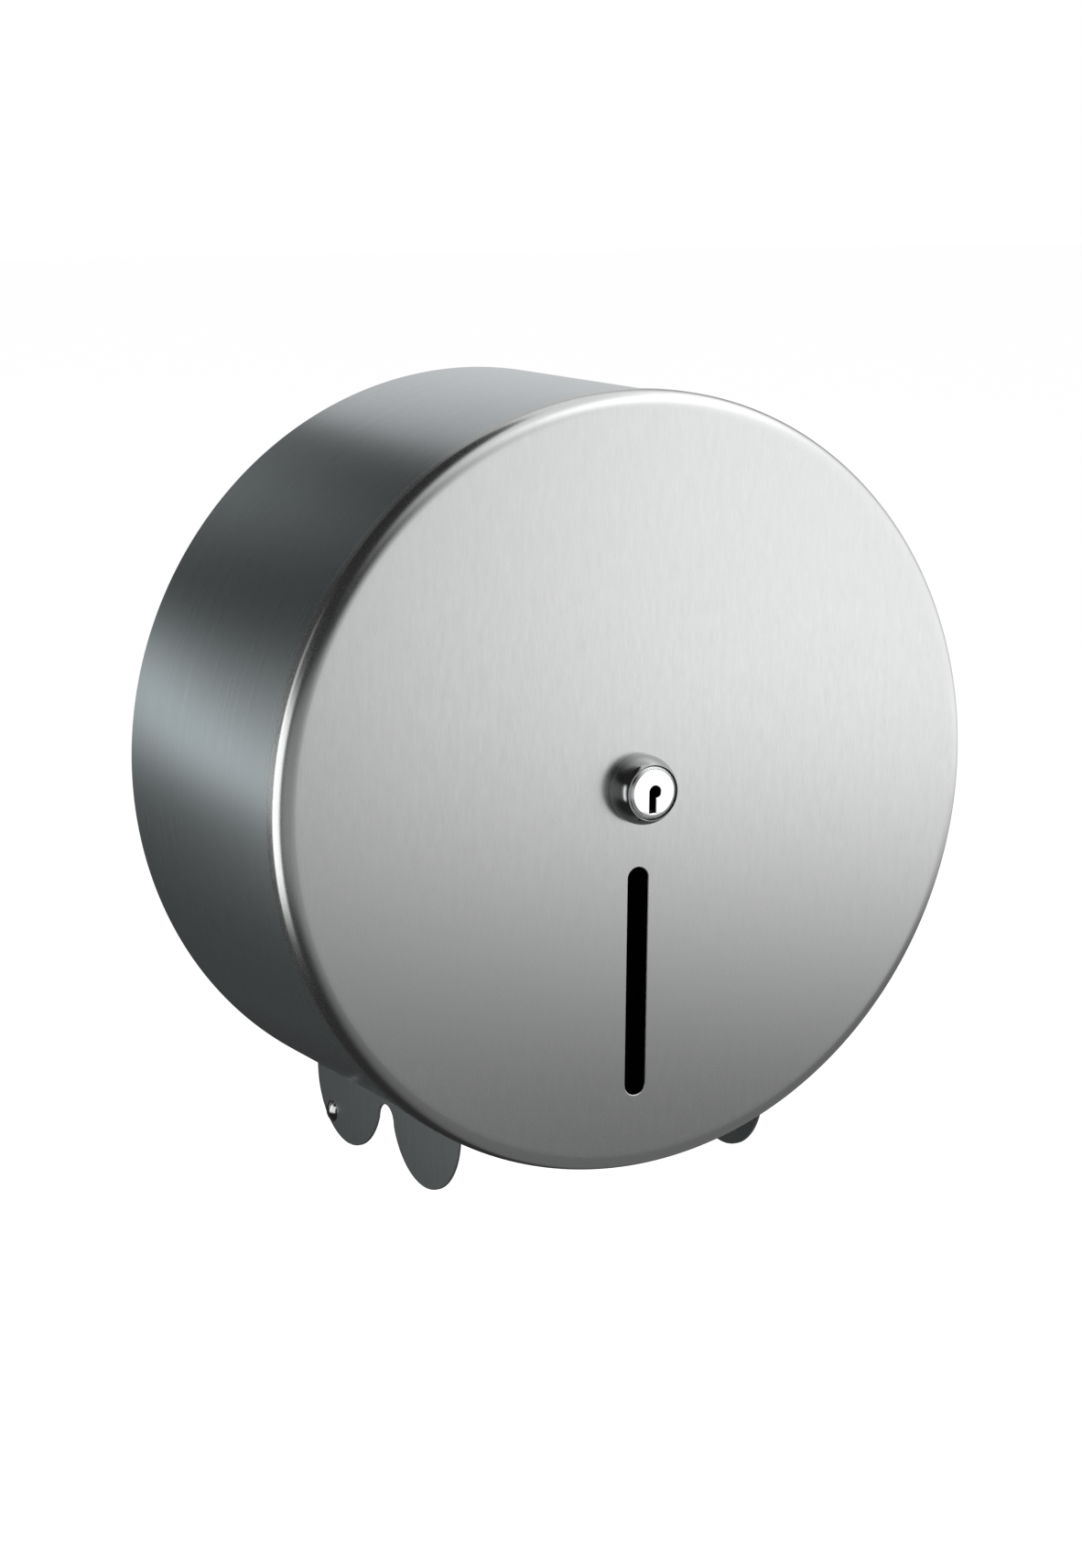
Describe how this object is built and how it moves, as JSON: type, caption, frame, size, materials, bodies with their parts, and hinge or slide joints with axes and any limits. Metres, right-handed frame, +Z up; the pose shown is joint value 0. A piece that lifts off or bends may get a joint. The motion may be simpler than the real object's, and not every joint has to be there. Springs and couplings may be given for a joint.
{
  "type": "jumbo toilet roll dispenser",
  "caption": "Wall-mounted steel drum for a jumbo toilet roll, with a hinged and centre-locked round cover, a viewing slot, a turning roll hub and two lobed tear plates under it.",
  "frame": {"origin": "on the drum's axis, in the plane of the wall that the back pan lies on", "axes": "+Z up, +X to the right seen from the front, +Y into the wall, so the cover faces -Y"},
  "size_m": [0.2766, 0.1344, 0.2783],
  "materials": {
    "cover_steel": "vertical satin grain",
    "drum_steel": "satin grain round the drum",
    "plate_steel": "fine satin, dark",
    "hinge_steel": "satin",
    "plated_steel": "zinc plated",
    "lock_chrome": "polished",
    "hub_plastic": "moulded, fine texture"
  },
  "bodies": {
    "housing": {"back_pan": "drum_steel", "drum_wall": "drum_steel", "tear_plate_left": "plate_steel", "tear_plate_right": "plate_steel", "plate_bracket_left": "plate_steel", "plate_bracket_right": "plate_steel", "plate_rivets": "lock_chrome", "spindle_base": "plated_steel", "base_rivets": "plated_steel", "spindle_tube": "plated_steel", "spindle_pins": "plated_steel", "keeper_plate": "plated_steel", "rear_thrust_washer": "hub_plastic", "front_thrust_washer": "hub_plastic", "body_hinge_leaf": "hinge_steel", "hinge_pin": "plated_steel", "hinge_rivets": "plated_steel"},
    "cover": {"front_cover": "cover_steel", "cover_hinge_leaf": "hinge_steel", "lock_bezel": "lock_chrome", "lock_housing": "lock_chrome", "lock_washer": "plated_steel", "lock_nut": "plated_steel"},
    "lock_core": {"lock_plug": "lock_chrome", "lock_cam": "plated_steel", "cam_screw": "plated_steel"},
    "hub": {"roll_hub": "hub_plastic"}
  },
  "joints": [
    {"name": "cover_hinge", "type": "hinge", "parent": "housing", "child": "cover", "pos_m": [0.1386, -0.108, 0], "axis": [0, 0, 1], "range_deg": [0, 120]},
    {"name": "key_turn", "type": "hinge", "parent": "cover", "child": "lock_core", "pos_m": [0, -0.12, 0], "axis": [0, 1, 0], "range_deg": [0, 90]},
    {"name": "hub_spin", "type": "hinge", "parent": "housing", "child": "hub", "pos_m": [0, -0.05, 0], "axis": [0, 1, 0], "continuous": true}
  ]
}
